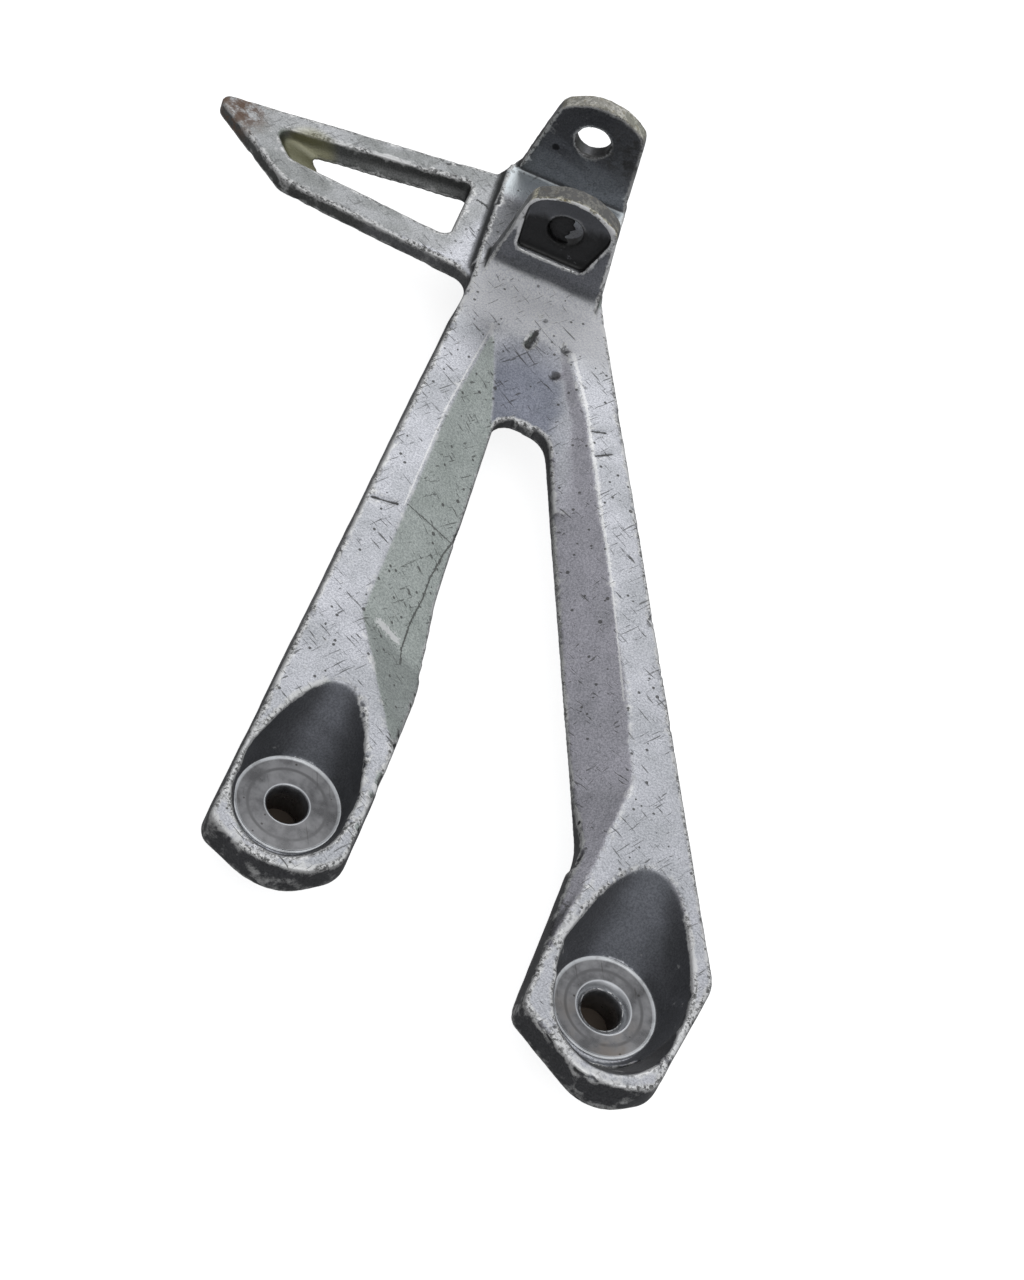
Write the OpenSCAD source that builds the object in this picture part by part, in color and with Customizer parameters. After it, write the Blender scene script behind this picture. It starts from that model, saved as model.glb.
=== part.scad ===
// Motorcycle footrest hanger: one cast aluminium bracket.
// Two diverging legs end in recessed bolt bosses, and a two-eared clevis at their
// junction carries the footrest pivot pin. A flat wing with a long window reaches
// sideways from the clevis. The origin is the bolt hole of the long leg on the
// mounting face, +Z points away from the frame, and +Y runs along the pivot pin
// towards the clevis. All sizes are in millimetres.

/* [Bolt bosses] */
// sideways distance between the two bolt holes
bolt_dx = 70.3; // [62:0.1:78]
// how much further up the short leg's bolt hole lies
bolt_dy = 17.4; // [10:0.1:26]
// bolt hole diameter, a free fit for an M8 bolt
bolt_d = 8.4; // [8.2:0.1:10]
// machined seat diameter under the bolt head
seat_d = 22; // [19:0.1:24]
// metal left between the seat and the mounting face
seat_wall = 9; // [7:0.1:12]
// bevel at the mouth of the short leg's bolt hole
short_bevel = 0.2; // [0.1:0.1:1.2]
// bevel at the mouth of the long leg's bolt hole
long_bevel = 1.4; // [0.4:0.1:2]
// diameter of the round foot behind each seat, at the mounting face
foot_d = 25.2; // [24:0.1:26]
// metal under the ramp that leads down to each seat
ramp_wall = 3; // [2.5:0.1:4]

// radius of the long boss's round end at the outer face
long_rim = 21.4; // [20.5:0.1:24]
// radius of the short boss's round end at the outer face
short_rim = 20.3; // [19.5:0.1:24]
// how far the bosses' end walls lean outwards below the outer face, in degrees
rim_draft = 15; // [5:1:20]

/* [Legs] */
// height of the outer face above the mounting face
face_z = 20; // [17:0.1:24]
// height of the casting's back above the mounting face
back_z = 12.2; // [10:0.1:13]
// slope of the short leg's inner face, in degrees
short_slope = 24; // [12:1:28]
// slope of the long leg's inner face, in degrees
long_slope = 30; // [15:1:34]
// metal thickness at the crotch between the legs
crotch_wall = 3.6; // [2.5:0.1:6]
// distance over which the hollow above the crotch runs out
fade_l = 31; // [20:0.5:36]

/* [Clevis] */
// distance from the long leg's bolt hole to the pin axis, sideways
pin_dx = 55.2; // [50:0.1:60]
// height of the pin axis above the mounting face
pin_z = 36.1; // [33:0.1:40]
// pin hole diameter, a running fit for an 8 mm pin
pin_d = 8.4; // [8.1:0.1:9]
// distance from the long leg's bolt hole to the near ear's outer face
clevis_y = 170; // [160:0.5:185]
// clear gap between the two ears
clevis_gap = 30.4; // [26:0.1:34]
// thickness of the near ear
near_ear = 5.3; // [4.5:0.1:8]
// thickness of the far ear
far_ear = 4.2; // [3:0.1:7]
// depth of the pin head's recess in the near ear
recess_deep = 2; // [0.5:0.1:3]
// radius of the hollow blend between the near ear and the outer face
blend_r = 6; // [3:0.1:7]

/* [Wing] */
// how far the wing's tip lies from the clevis body
wing_reach = 71.8; // [50:0.1:90]
// height of the wing's outer face above the mounting face
wing_z = 17.5; // [15:0.1:19.5]
// thickness of the wing
wing_thick = 4.3; // [3.5:0.1:6]
// how far the window's walls lean in towards the back
window_draft = 2.1; // [0:0.1:3]
// how far the window's narrow end leans in besides
window_end = 7; // [0:0.5:10]
// width of the raised rim round the window, on the back
window_rim = 2.6; // [1.5:0.1:4]
// width of the step's bevel between wing and clevis body
step_bevel = 1.8; // [0.5:0.1:3]

/* [Hidden] */
$fn = 96;
cut = 30;                                   // overshoot of the cutting bodies
reach = 150;                                // size of the largest cutting bodies
long_bolt = [0, 0];
short_bolt = [-bolt_dx, bolt_dy];
pin_x = -pin_dx;
near_in = clevis_y + near_ear;              // inner face of the near ear
far_in = near_in + clevis_gap;              // inner face of the far ear
far_out = far_in + far_ear;
body_l = pin_x - 15.7;                      // left side of the clevis body
body_r = pin_x + 15.0;                      // right side of the clevis body
crotch = [pin_x + 6.3, clevis_y - 41.0];    // top of the fork gap
tip = [body_l - wing_reach, far_in - 14.3]; // the wing's tip
silver = [0.74, 0.74, 0.77];

// Each corner of an outline is [x, y, rounding radius], given anticlockwise.
// Outer silhouette of legs, bosses and clevis body.
plate_line = [
    [pin_x - 13.6, far_out, 1.5],
    [body_l, far_in + 0.8, 1.5],
    [body_l, clevis_y - 8, 40],
    [short_bolt.x - 13.9, short_bolt.y - 16.0, 3],
    [short_bolt.x + 1.5, short_bolt.y - 23.4, 13],
    [short_bolt.x + 12.9, short_bolt.y - 15.1, 6],
    [short_bolt.x + 17.3, short_bolt.y + 33.6, 40],
    [short_bolt.x + 15.0, short_bolt.y + 57, 40],
    [crotch.x - 5.9, crotch.y + 2.2, 5],
    [crotch.x + 6.3, crotch.y + 0.4, 6.6],
    [-13.4, 27.6, 16],
    [-18.2, -12.1, 3],
    [0.2, -24.9, 10.5],
    [10.3, -18.9, 5],
    [17.5, 6.5, 6],
    [body_r, clevis_y + 3.8, 26],
    [body_r, far_out, 1.5],
];

// Wing plate; it ends inside the clevis body and is hollowed into the short leg.
wing_line = [
    [body_l + 6, far_in - 0.1, 0],
    [tip.x, tip.y, 2.2],
    [tip.x + 23.3, clevis_y + 1.9, 6.6],
    [body_l - 0.5, clevis_y - 2.4, 5],
    [body_l + 2.0, clevis_y - 14, 0],
    [body_l + 6, clevis_y - 14, 0],
];

// Long window through the wing.
window_line = [
    [body_l - 6.7, far_in - 8.2, 1.8],
    [tip.x + 15.8, tip.y - 2.9, 2.8],
    [tip.x + 22.5, clevis_y + 9.9, 4],
    [body_l - 7.9, clevis_y + 6.4, 3],
];

// Ear seen along the pin: [x, z, radius], narrowing towards a rounded top.
ear_line = [
    [pin_x - 14.0, face_z - 2, 0],
    [pin_x + 14.8, face_z - 2, 0],
    [pin_x + 11.2, pin_z + 6.7, 5],
    [pin_x - 0.2, pin_z + 12.5, 14],
    [pin_x - 10.4, pin_z + 6.5, 5],
];

// Recess for the pin's flattened head: straight below, round above.
recess_line = [
    [pin_x - 8.9, pin_z - 8.2, 1.6],
    [pin_x + 7.5, pin_z - 8.2, 1.6],
    [pin_x + 10.9, pin_z + 5.2, 5],
    [pin_x + 0.2, pin_z + 12.0, 14],
    [pin_x - 10.6, pin_z + 6.0, 5],
];

// Unit vector from p to q.
function toward(p, q) = (q - p) / norm(q - p);

// Points of the rounding at corner b between its neighbours a and c.
function rounding(a, b, c) =
    let (
        p = [b.x, b.y],
        u = toward(p, [a.x, a.y]),
        v = toward(p, [c.x, c.y]),
        half = acos(u * v) / 2,
        middle = p + toward([0, 0], u + v) * b.z / sin(half),
        start = p + u * b.z / tan(half) - middle,
        end = p + v * b.z / tan(half) - middle,
        first = atan2(start.y, start.x),
        sweep = atan2(end.y, end.x) - first,
        turn = sweep > 180 ? sweep - 360 : sweep < -180 ? sweep + 360 : sweep,
        steps = max(2, ceil(abs(turn) / 10))
    )
    [for (i = [0:steps]) middle + b.z * [cos(first + turn * i / steps), sin(first + turn * i / steps)]];

// All points of an outline with its corners rounded.
function outline(line) =
    let (n = len(line))
    [
        for (i = [0:n - 1])
            each line[i].z == 0
                ? [[line[i].x, line[i].y]]
                : rounding(line[(i + n - 1) % n], line[i], line[(i + 1) % n])
    ];

// The outline with every side moved inwards by d.
function inset(line, d) =
    let (n = len(line))
    [
        for (i = [0:n - 1])
            let (
                a = line[(i + n - 1) % n],
                b = line[i],
                c = line[(i + 1) % n],
                u = toward([a.x, a.y], [b.x, b.y]),
                v = toward([b.x, b.y], [c.x, c.y]),
                shift = d * ([-u.y, u.x] + [-v.y, v.x]) / (1 + u * v),
                convex = u.x * v.y - u.y * v.x > 0
            )
            [b.x + shift.x, b.y + shift.y, b.z == 0 ? 0 : max(0.3, b.z + (convex ? -d : d))]
    ];

// Hole whose walls lean, apart from the one at its +X end. Each level is
// [height, inset, how far the narrow end moves in besides], from the back up.
module leaning_hole(line, levels) {
    wide = [line[0].x, line[0].y];
    narrow = [line[1].x, line[1].y];
    rings = [
        for (level = levels)
            [
                for (p = outline(inset(line, level[1])))
                    let (
                        end = p.x < (wide.x + narrow.x) / 2 ? level[2] : 0,
                        q = p + end * toward(narrow, wide)
                    )
                    [q.x + level[1], q.y, level[0]]
            ]
    ];
    n = len(rings[0]);
    last = len(rings) - 1;
    polyhedron(
        points = [for (ring = rings) each ring],
        faces = [
            [for (i = [0:n - 1]) i],
            [for (i = [n - 1:-1:0]) last * n + i],
            for (k = [0:last - 1], i = [0:n - 1])
                [k * n + i, (k + 1) * n + i, (k + 1) * n + (i + 1) % n, k * n + (i + 1) % n],
        ]
    );
}

// Slab between two heights with a rounded outline.
module slab(line, low, high) {
    translate([0, 0, low])
        linear_extrude(height = high - low)
            polygon(outline(line));
}

// Upright slab across the pin axis, between two distances along it.
module upright(line, near, far) {
    translate([0, far, 0])
        rotate([90, 0, 0])
            linear_extrude(height = far - near)
                polygon(outline(line));
}

// Everything above a plane that starts at line a-b on the outer face and falls
// away to the right of the direction from a to b.
module above_slope(a, b, slope) {
    translate([a.x, a.y, face_z])
        rotate([0, 0, atan2(b.y - a.y, b.x - a.x)])
            rotate([slope, 0, 0])
                translate([-reach, -reach, 0])
                    cube([2 * reach, reach, reach]);
}

// Sloped inner face of the short leg: the edge bends inwards towards the clevis,
// and a steeper ramp ends the face beside the boss.
module short_leg_slope() {
    low = short_bolt + [0.7, 46.6];
    bend = [pin_x - 11.2, clevis_y - 50];
    above_end = short_bolt + [0.8, 42];
    intersection() {
        above_slope(low, bend, short_slope);
        above_slope(bend, [pin_x - 7.0, clevis_y - 18], short_slope);
        above_slope(short_bolt + [14.2, 14.2], above_end, short_slope + 6);
    }
}

// Sloped inner face of the long leg, with five straight edges.
module long_leg_slope() {
    top = [pin_x + 10.2, clevis_y - 16.5];
    bend = [pin_x + 19.3, clevis_y - 34.5];
    knee = [-12.2, 65.7];
    low = [-6.8, 44.5];
    intersection() {
        above_slope(top, bend, long_slope);
        above_slope(bend, knee, long_slope);
        above_slope(knee, low, long_slope);
        above_slope(low, [-11.1, 20], long_slope + 4);
        above_slope([-11.1, 20], [-16.7, -2], 50);
    }
}

// Floor of the hollow above the crotch, rising and fading out towards the clevis.
module hollow_floor() {
    radius = 46;
    floor_z = back_z + crotch_wall;
    fade = atan((face_z - floor_z) / fade_l);
    translate([crotch.x - 2.5, crotch.y, floor_z + radius / cos(fade)])
        rotate([-90 + fade, 0, 0])
            translate([0, 0, -30])
                cylinder(h = 57, r = radius, $fn = 180);
    translate([-2 * reach, crotch.y - 20 - reach, 0])
        cube([3 * reach, reach, reach]);
}

// Room above the two inner faces and the hollow where they meet.
module fork_hollow() {
    intersection() {
        short_leg_slope();
        long_leg_slope();
        hollow_floor();
    }
}

// Cone of the ramp over a bolt seat, with its axis tilted so that its lower side
// climbs at the ramp's slope from just above the seat's edge.
module ramp_cone(ramp, taper, mouth, grow = 0) {
    rise = ramp - taper;
    translate([0, seat_d / 2 - 4.5 * cos(ramp) - mouth * sin(rise), mouth * cos(rise) - 4.5 * sin(ramp)])
        rotate([rise - 90, 0, 0])
            cylinder(h = 32, r1 = mouth + grow, r2 = mouth + grow - 32 * tan(taper));
}

// Pocket over a bolt seat at the origin: round below, a narrowing ramp above.
// turn swings the ramp, ramp is its slope and taper its narrowing, mouth the radius
// of the pocket at the outer face, and lean tilts the lower wall outwards.
module pocket(turn, ramp, taper, mouth, lean) {
    r = seat_d / 2;
    deep = face_z - seat_wall;
    translate([0, 0, seat_wall])
        rotate([0, 0, turn])
            intersection() {
                union() {
                    cylinder(h = deep, r1 = r, r2 = mouth - 0.1);
                    translate([0, 0, deep])
                        cylinder(h = cut, r = mouth - 0.1);
                    rotate([lean, 0, 0])
                        cylinder(h = 1.7 * deep, r1 = r * cos(lean), r2 = mouth + 0.4);
                    ramp_cone(ramp, taper, mouth);
                }
                translate([-cut, -cut, 0])
                    cube([2 * cut, 3 * cut, 2 * cut]);
            }
}

// Bolt hole with a bevelled mouth, at the origin.
module bolt_hole(bevel) {
    translate([0, 0, -1])
        cylinder(h = seat_wall + 2, d = bolt_d);
    translate([0, 0, seat_wall - bevel])
        cylinder(h = bevel + 0.01, d1 = bolt_d, d2 = bolt_d + 2 * bevel);
}

// Round foot on the mounting face.
module foot() {
    cylinder(h = back_z + 1, d1 = foot_d, d2 = foot_d + 0.6);
}

// Foot behind a bolt seat, with even metal under the ramp.
module boss(bolt, turn, ramp, taper, mouth) {
    intersection() {
        translate([bolt.x, bolt.y, 0])
            union() {
                foot();
                translate([0, 0, seat_wall])
                    rotate([0, 0, turn])
                        ramp_cone(ramp, taper, mouth, ramp_wall);
            }
        slab(plate_line, 0, back_z + 1);
    }
}

// Draft round the lower end of a boss, cut away outside a cone about its bolt.
module end_draft(bolt, rim) {
    deep = face_z - back_z - 1.5;
    translate([bolt.x, bolt.y, face_z - deep])
        difference() {
            translate([-cut, -cut, 0])
                cube([2 * cut, cut - 5, deep + 5]);
            translate([0, 0, -1])
                cylinder(h = deep + 1, r1 = rim + (deep + 1) * tan(rim_draft), r2 = rim);
            cylinder(h = deep + 6, r = rim);
        }
}

// Hollow blend from the near ear's outer face down to the outer face of the legs.
module ear_blend() {
    intersection() {
        upright(ear_line, clevis_y - blend_r, clevis_y);
        difference() {
            translate([body_l, clevis_y - blend_r, face_z - 2])
                cube([body_r - body_l, blend_r, blend_r + 2]);
            translate([body_l - 1, clevis_y - blend_r, face_z + blend_r - 0.05])
                rotate([0, 90, 0])
                    cylinder(h = body_r - body_l + 2, r = blend_r);
        }
    }
}

// Bevelled strip where the wing's face steps up to the clevis body.
module step_strip() {
    translate([body_l, far_in - 0.6, 0])
        rotate([90, 0, 0])
            linear_extrude(height = far_in - clevis_y + 1)
                polygon([[-step_bevel, wing_z - 0.5], [1, wing_z - 0.5], [1, face_z], [0, face_z]]);
}

// The whole casting.
module hanger_casting() {
    color(silver)
        difference() {
            union() {
                slab(plate_line, back_z, face_z);
                slab(wing_line, wing_z - wing_thick, wing_z);
                slab(inset(window_line, -window_rim), back_z, wing_z - 1);
                step_strip();
                upright(ear_line, clevis_y, near_in);
                upright(ear_line, far_in, far_out);
                ear_blend();
                boss(long_bolt, -4, 33.7, 14.6, 13.6);
                boss(short_bolt, -5, 38.8, 17, 11.6);
                translate([pin_x, near_in + 10, 0])
                    foot();
            }
            fork_hollow();
            end_draft(short_bolt, short_rim);
            end_draft(long_bolt, long_rim);
            translate([short_bolt.x, short_bolt.y, 0]) {
                pocket(-5, 38.8, 17, 11.6, 25);
                bolt_hole(short_bevel);
            }
            translate([long_bolt.x, long_bolt.y, 0]) {
                pocket(-4, 33.7, 14.6, 13.6, 22);
                bolt_hole(long_bevel);
            }
            leaning_hole(window_line, [
                [back_z - 1, window_draft, window_end],
                [back_z, window_draft, window_end],
                [(back_z + wing_z) / 2, 0.4, 1],
                [wing_z, 0, 0],
                [wing_z + 2, 0, 0],
            ]);
            upright(recess_line, clevis_y - blend_r, clevis_y + recess_deep);
            translate([pin_x, clevis_y - 10, pin_z])
                rotate([-90, 0, 0])
                    cylinder(h = far_out - clevis_y + 20, d = pin_d);
        }
}

hanger_casting();
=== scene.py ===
import bmesh
import bpy
import numpy as np
from mathutils import Matrix, Vector


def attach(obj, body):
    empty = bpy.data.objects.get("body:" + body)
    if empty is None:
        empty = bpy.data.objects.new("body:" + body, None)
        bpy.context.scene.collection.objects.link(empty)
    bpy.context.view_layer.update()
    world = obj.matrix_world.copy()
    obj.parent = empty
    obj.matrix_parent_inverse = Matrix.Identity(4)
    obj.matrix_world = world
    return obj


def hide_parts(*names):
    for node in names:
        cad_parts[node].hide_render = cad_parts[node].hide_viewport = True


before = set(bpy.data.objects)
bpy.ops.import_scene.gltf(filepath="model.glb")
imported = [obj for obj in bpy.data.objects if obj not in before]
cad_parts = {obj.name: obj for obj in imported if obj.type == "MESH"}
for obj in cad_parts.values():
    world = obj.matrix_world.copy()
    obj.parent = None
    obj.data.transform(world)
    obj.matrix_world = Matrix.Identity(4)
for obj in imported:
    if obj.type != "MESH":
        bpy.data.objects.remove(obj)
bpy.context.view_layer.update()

# The casting's skin: legs, bosses, clevis and wing in one piece of sand-cast
# aluminium. Its edges are rounded by the mould, its walls lean a little so that it
# leaves the mould, and years of use have dented and chipped it.
MM = 0.001
LONG_BOLT = np.array([0.0, 0.0])
SHORT_BOLT = np.array([-70.3, 17.4])
FACE_Z = 20.0
BACK_Z = 12.2
WING_Z = 17.5
PIN = np.array([-55.2, 36.1])
EAR_Y = 170.0
FAR_EAR_Y = 205.7
GRAIN_STEP = 0.42
EDGE_ROUNDS = 6
EAR_ROUNDS = 3
POCKET_ROUNDS = 26
MOST_TRIANGLES = 190000


def mesh_points(mesh):
    """All vertex positions of a mesh in millimetres, as rows of x, y and z."""
    flat = np.empty(len(mesh.vertices) * 3, np.float32)
    mesh.vertices.foreach_get("co", flat)
    return flat.reshape(-1, 3).astype(float) / MM


def mesh_normals(mesh):
    """All vertex normals of a mesh as rows of x, y and z."""
    flat = np.empty(len(mesh.vertices) * 3, np.float32)
    mesh.vertex_normals.foreach_get("vector", flat)
    return flat.reshape(-1, 3).astype(float)


def mesh_edges(mesh):
    """All edges of a mesh as rows of two vertex numbers."""
    flat = np.empty(len(mesh.edges) * 2, np.int32)
    mesh.edges.foreach_get("vertices", flat)
    return flat.reshape(-1, 2)


def put_points(mesh, points):
    """Writes positions in millimetres back into the mesh."""
    mesh.vertices.foreach_set("co", (points * MM).astype(np.float32).ravel())
    mesh.update()


def neighbour_mean(values, edges):
    """Average of each vertex's neighbours: what lies at the far end of its edges,
    added up over both directions of every edge and divided by their number."""
    n = len(values)
    count = np.bincount(edges.ravel(), minlength=n)
    columns = [
        np.bincount(edges[:, 0], column[edges[:, 1]], n)
        + np.bincount(edges[:, 1], column[edges[:, 0]], n)
        for column in values.T
    ]
    return np.stack(columns, 1) / np.maximum(count, 1)[:, None]


def smooth_step(low, high, x):
    """0 below low, 1 above high and an S-curve 3t^2 - 2t^3 between."""
    t = np.clip((x - low) / (high - low), 0, 1)
    return t * t * (3 - 2 * t)


def waves(points, length, seed):
    """Smooth random relief of about unit height: twelve plane sine waves of about
    the given length in random directions, added up."""
    draw = np.random.default_rng(seed)
    direction = draw.normal(size=(12, 3))
    direction /= np.linalg.norm(direction, axis=1)[:, None]
    pace = 2 * np.pi / (length * draw.uniform(0.7, 1.5, 12))
    phase = draw.uniform(0, 2 * np.pi, 12)
    return np.sin(points @ (direction * pace[:, None]).T + phase).sum(1) / 3.5


def from_segment(points, start, end):
    """Distance in plan from each point to the straight piece between start and end,
    and the nearest point on it."""
    start, end = np.asarray(start, float), np.asarray(end, float)
    along = end - start
    share = np.clip((points[:, :2] - start) @ along / (along @ along), 0, 1)
    nearest = start + share[:, None] * along
    return np.linalg.norm(points[:, :2] - nearest, axis=1), nearest


def pocket_side(points, normals):
    """1 on the inside of a bolt pocket, 0 elsewhere: within reach of the pocket's
    middle line, and facing it."""
    inside = np.zeros(len(points))
    for bolt, top in ((LONG_BOLT, (2.2, 28)), (SHORT_BOLT, (-67.8, 45.5))):
        away, nearest = from_segment(points, bolt, top)
        facing = ((nearest - points[:, :2]) * normals[:, :2]).sum(1)
        inside = np.maximum(inside, (away < 17) & (facing > 0.2) & (points[:, 2] > 9.2))
    return inside


casting_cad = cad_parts["hanger_casting"]
rough = bpy.data.meshes.new("rough_casting")
welding = bmesh.new()
welding.from_mesh(casting_cad.data)
bmesh.ops.remove_doubles(welding, verts=welding.verts, dist=1e-6)
welding.to_mesh(rough)
welding.free()
casting = bpy.data.objects.new("casting", rough)
bpy.context.scene.collection.objects.link(casting)


def apply_modifiers(obj):
    """Replaces the object's mesh with what its modifiers make of it."""
    seen = obj.evaluated_get(bpy.context.evaluated_depsgraph_get())
    made = bpy.data.meshes.new_from_object(seen)
    obj.modifiers.clear()
    obj.data = made
    return made


remesh = casting.modifiers.new("even_grid", "REMESH")
remesh.mode = "VOXEL"
remesh.voxel_size = GRAIN_STEP * MM
skin = apply_modifiers(casting)
points, edges = mesh_points(skin), mesh_edges(skin)

# rounding: every cast edge is averaged with its neighbours, the ears and machined
# seats for fewer rounds, and the insides of the bolt pockets for more
pocket_reach = np.minimum(
    from_segment(points, LONG_BOLT, (2.2, 28))[0], from_segment(points, SHORT_BOLT, (-67.8, 45.5))[0]
)
height = points[:, 2]
rounds = np.where((points[:, 1] > EAR_Y - 2) & (height > 19), EAR_ROUNDS, EDGE_ROUNDS)
rounds = np.where((pocket_reach < 13.5) & (height > 9.5) & (height < 19.3), POCKET_ROUNDS, rounds)
for bolt in (LONG_BOLT, SHORT_BOLT):
    away = np.linalg.norm(points[:, :2] - bolt, axis=1)
    rounds = np.where((away < 10.6) & (height < 9.5), 1, rounds)
for turn in range(POCKET_ROUNDS):
    pull = 0.5 * (rounds > turn)[:, None]
    points += pull * (neighbour_mean(points, edges) - points)
put_points(skin, points)
normals = mesh_normals(skin)

# leaning walls: an upright outer wall of legs and bosses stands out most two thirds
# down, then tucks in towards the back; the fork's inner walls stay upright
upright = smooth_step(0.5, 0.9, np.hypot(normals[:, 0], normals[:, 1]))
left_half = points[:, 0] < -46
inner = (points[:, 1] < 135) & (points[:, 1] > 22) & np.where(left_half, normals[:, 0] > 0.2, normals[:, 0] < -0.2)
outer = upright * (1 - pocket_side(points, normals)) * (points[:, 2] < FACE_Z) * (1 - inner)
outer *= smooth_step(160, 150, points[:, 1])
depth = FACE_Z - points[:, 2]
lean = 0.9 * smooth_step(0, 5.5, depth) - 0.9 * smooth_step(5.5, 8.6, depth)
points += (0.6 * outer * lean)[:, None] * normals * [1, 1, 0]

# chips: where the skin is still sharp, rough waves above a threshold break it away
sharp = ((points - neighbour_mean(points, edges)) * normals).sum(1)[:, None] / GRAIN_STEP
for turn in range(3):
    sharp = 0.5 * sharp + 0.5 * neighbour_mean(sharp, edges)
sharp = smooth_step(0.012, 0.05, sharp[:, 0]) * (height > 13)
broken = waves(points, 8.3, 8) + 0.8 * waves(points, 3.9, 9) + 0.7 * waves(points, 2.1, 10) + 0.5 * waves(points, 1.3, 11)
chip = 0.26 * sharp * smooth_step(0.9, 2.6, broken + 0.7 * waves(points, 31, 12))
chip *= np.where((points[:, 1] > EAR_Y - 1) & (height > 21), 0.3, 1) * np.where(points[:, 0] < -72, 0.5, 1)

# dents: each is a short line that the skin is pushed in along, deepest on the line
# and fading as the bell curve exp(-(distance / width)^2)
DENTS = (
    ((-53.4, 151.0), (-52.6, 155.4), 0.6, 0.6),
    ((-53.6, 151.4), (-52.9, 153.4), 0.8, 0.35),
    ((-45.0, 153.4), (-44.8, 153.8), 0.9, 0.7),
    ((-45.8, 145.5), (-45.3, 146.0), 1.1, 0.5),
    ((-51.5, 159.5), (-51.2, 160.0), 0.6, 0.3),
    ((-75.6, 89.4), (-69.9, 90.1), 0.4, 0.3),
    ((-34.1, 132.2), (-30.9, 133.4), 0.4, 0.22),
    ((-31.8, 125.5), (-28.2, 128.0), 0.4, 0.22),
    ((-85.2, 200.5), (-84.8, 200.6), 0.7, 0.35),
    ((-82.8, 201.5), (-82.4, 201.7), 0.6, 0.3),
)
chip *= 1 - np.exp(-((np.hypot(points[:, 0] + 50, points[:, 1] - 128) / 20) ** 2))
for start, end, width, deep in DENTS:
    away = from_segment(points, start, end)[0]
    chip += deep * np.exp(-((away / width) ** 2)) * (normals[:, 2] > 0.5) * (height > 15)
points -= chip[:, None] * normals

# the mould's own unevenness
machined = np.zeros(len(points))
for bolt in (LONG_BOLT, SHORT_BOLT):
    away = np.linalg.norm(points[:, :2] - bolt, axis=1)
    machined = np.maximum(machined, smooth_step(10.6, 10.0, away) * (points[:, 2] < 9.6))
points += ((1 - machined) * (0.05 * waves(points, 14, 3) + 0.03 * waves(points, 5, 4)))[:, None] * normals
points[:, 2] -= 0.3 * machined * (points[:, 2] > 8)
put_points(skin, points)

bulge = ((points - neighbour_mean(points, edges)) * mesh_normals(skin)).sum(1)
bulge = bulge[:, None]
for turn in range(3):
    bulge = 0.5 * bulge + 0.5 * neighbour_mean(bulge, edges)


def keep_value(mesh, name, values):
    """Stores one number for each vertex under a name that a material can read."""
    layer = mesh.attributes.get(name) or mesh.attributes.new(name, "FLOAT", "POINT")
    layer.data.foreach_set("value", np.asarray(values, np.float32).ravel())


keep_value(skin, "bulge", bulge / GRAIN_STEP)
keep_value(skin, "chip", chip)
thinner = casting.modifiers.new("fewer_faces", "DECIMATE")
thinner.ratio = min(1.0, MOST_TRIANGLES / sum(len(p.vertices) - 2 for p in skin.polygons))
skin = apply_modifiers(casting)
skin.name = "casting"
skin.shade_smooth()

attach(casting, "root")
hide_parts("hanger_casting")

# The casting's finish: silver paint with fine metal flakes, rubbed bright along the
# edges, darker grey in corners, and painted shade on the walls and the faces turned down.
points, normals = mesh_points(skin), mesh_normals(skin)
away, facing = 99.0, 0.0
for bolt, top in ((LONG_BOLT, (2.2, 28)), (SHORT_BOLT, (-67.8, 45.5))):
    one_away, nearest = from_segment(points, bolt, top)
    one_facing = ((nearest - points[:, :2]) * normals[:, :2]).sum(1)
    facing = np.where(one_away < away, one_facing, facing)
    away = np.minimum(away, one_away)
in_pocket = smooth_step(13.4, 12.8, away) * smooth_step(-1.4, -0.6, facing) * smooth_step(19.9, 19.2, points[:, 2]) * (points[:, 2] > 9.2)
short_side = smooth_step(0.22, 0.34, normals[:, 0]) * (normals[:, 2] > 0.5)
long_side = smooth_step(0.22, 0.4, -normals[:, 0]) * (normals[:, 2] > 0.5)
keep_value(skin, "short_face", short_side * (points[:, 0] < -40) * (1 - in_pocket))
keep_value(skin, "long_face", long_side * (points[:, 0] > -52) * (1 - in_pocket))
keep_value(skin, "pocket", in_pocket)
upright = smooth_step(0.55, 0.85, np.hypot(normals[:, 0], normals[:, 1]))
keep_value(skin, "wall", upright)
keep_value(skin, "boss_wall", upright * smooth_step(55, 30, points[:, 1]) * (1 - in_pocket) * (points[:, 2] < 19.5))
keep_value(skin, "wing", smooth_step(-70, -74, points[:, 0] - 0.35 * (points[:, 1] - 190)) * (points[:, 1] > 170))

# the ears: painted shade, slate grey, where they face the fork; nearly black grease in the
# lower half of the near ear's recess, painted shade over the whole recess, grease and painted shade inside the pin
# holes; mould-stained ends
x, y, z = points.T
hollow = smooth_step(19.8, 17.6, z) * smooth_step(100, 112, y) * smooth_step(157, 150, y) * smooth_step(0.3, 0.15, np.abs(normals[:, 0])) * (normals[:, 2] > 0.7)
keep_value(skin, "hollow", hollow * (x < -24) * (x > -64))
lip = (np.abs(y - EAR_Y - 0.5) < 1.3) & (z > 26.5) & (x > -66.5) & (x < -42)
in_ear = (y > EAR_Y - 3) & (z > 20) & (x > -75)
from_pin = np.hypot(x - PIN[0], z - PIN[1])
keep_value(skin, "ear", in_ear * smooth_step(0.3, 0.7, -normals[:, 1]))
keep_value(skin, "ear_end", in_ear * np.where(y < 180, 1.0, 0.6) * smooth_step(0.25, 0.6, normals[:, 2]) * (z > 30) * smooth_step(5.2, 6.5, from_pin))
recess = (y > EAR_Y - 0.6) & (y < EAR_Y + 5.5) & (x > -64.6) & (x < -43.5) & (z > 27.4)
band_top = np.interp(x, (-66.4, -61.6, -57.5, -53.5, -48.0), (36.0, 38.4, 37.6, 37.8, 40.0))
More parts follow.
